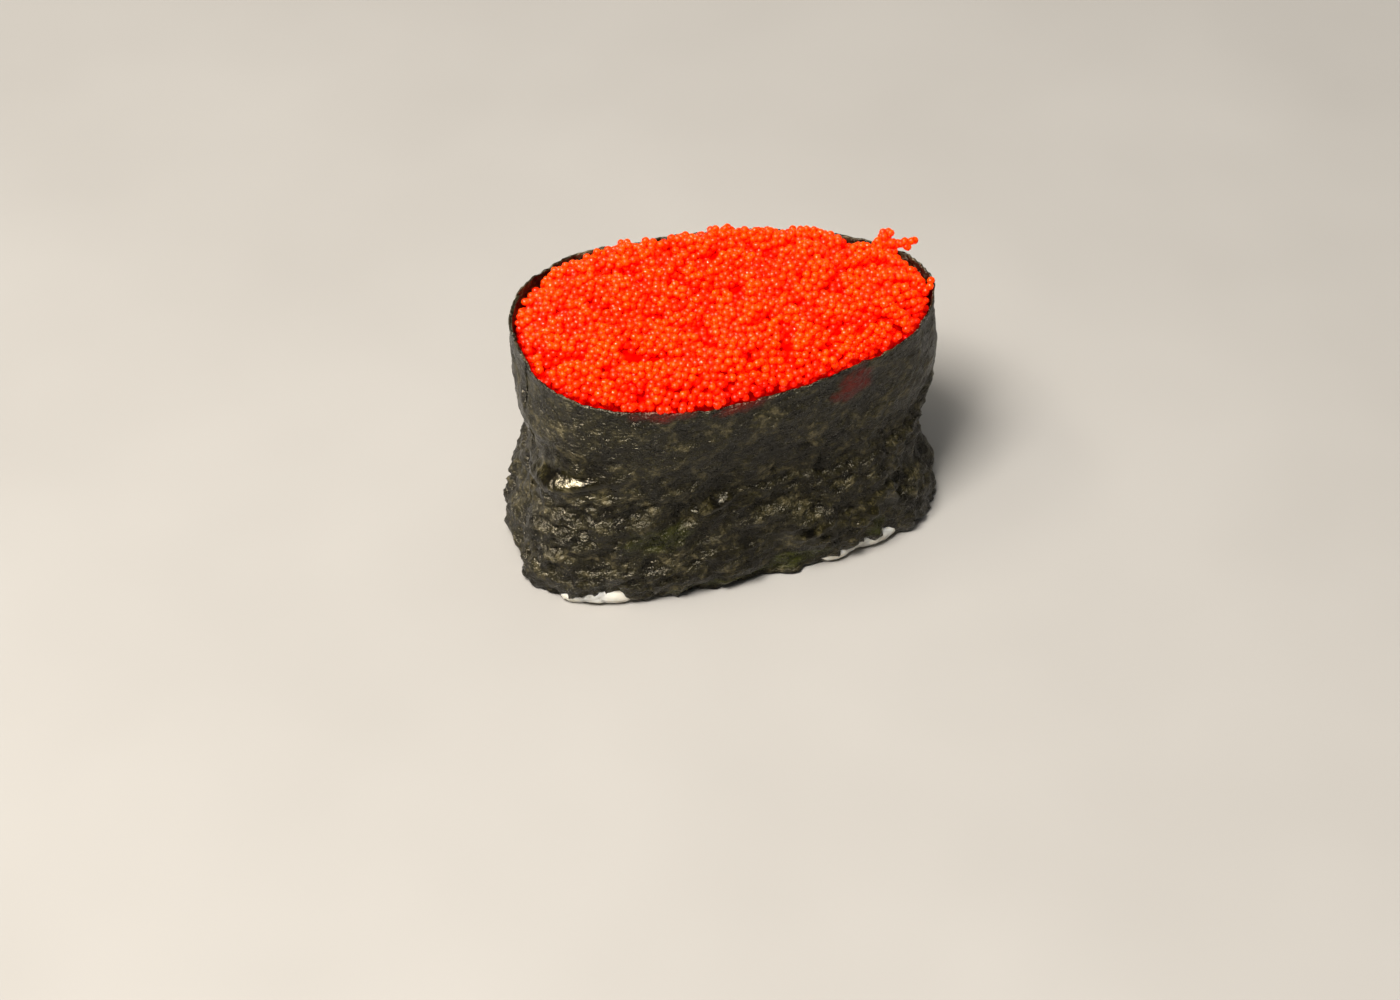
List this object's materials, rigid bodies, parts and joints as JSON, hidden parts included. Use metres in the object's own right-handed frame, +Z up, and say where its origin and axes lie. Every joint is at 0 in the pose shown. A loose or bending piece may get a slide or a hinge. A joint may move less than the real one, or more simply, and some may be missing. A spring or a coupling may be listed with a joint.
{
  "type": "smelt roe gunkan sushi",
  "caption": "Oval pad of pressed rice wrapped in an upright band of dark seaweed, with small orange-red fish eggs heaped in the cup above the rice.",
  "frame": {"origin": "centre of the bounding box's footprint, on the plane the rice stands on", "axes": "+X along the long axis, towards the narrower end of the rim; +Y across it, towards the back of the picture; +Z up"},
  "size_m": [0.0562, 0.0318, 0.0364],
  "materials": {
    "rice": "moist cooked rice grains, off-white and slightly translucent",
    "nori": "dried seaweed sheet, green-black, fibrous, damp and half-glossy",
    "roe": "wet translucent fish eggs, orange-red, with a small sharp glint on each"
  },
  "bodies": {
    "root": {"rice_pad": "rice", "nori_band": "nori", "roe_heap": "roe"}
  },
  "joints": []
}
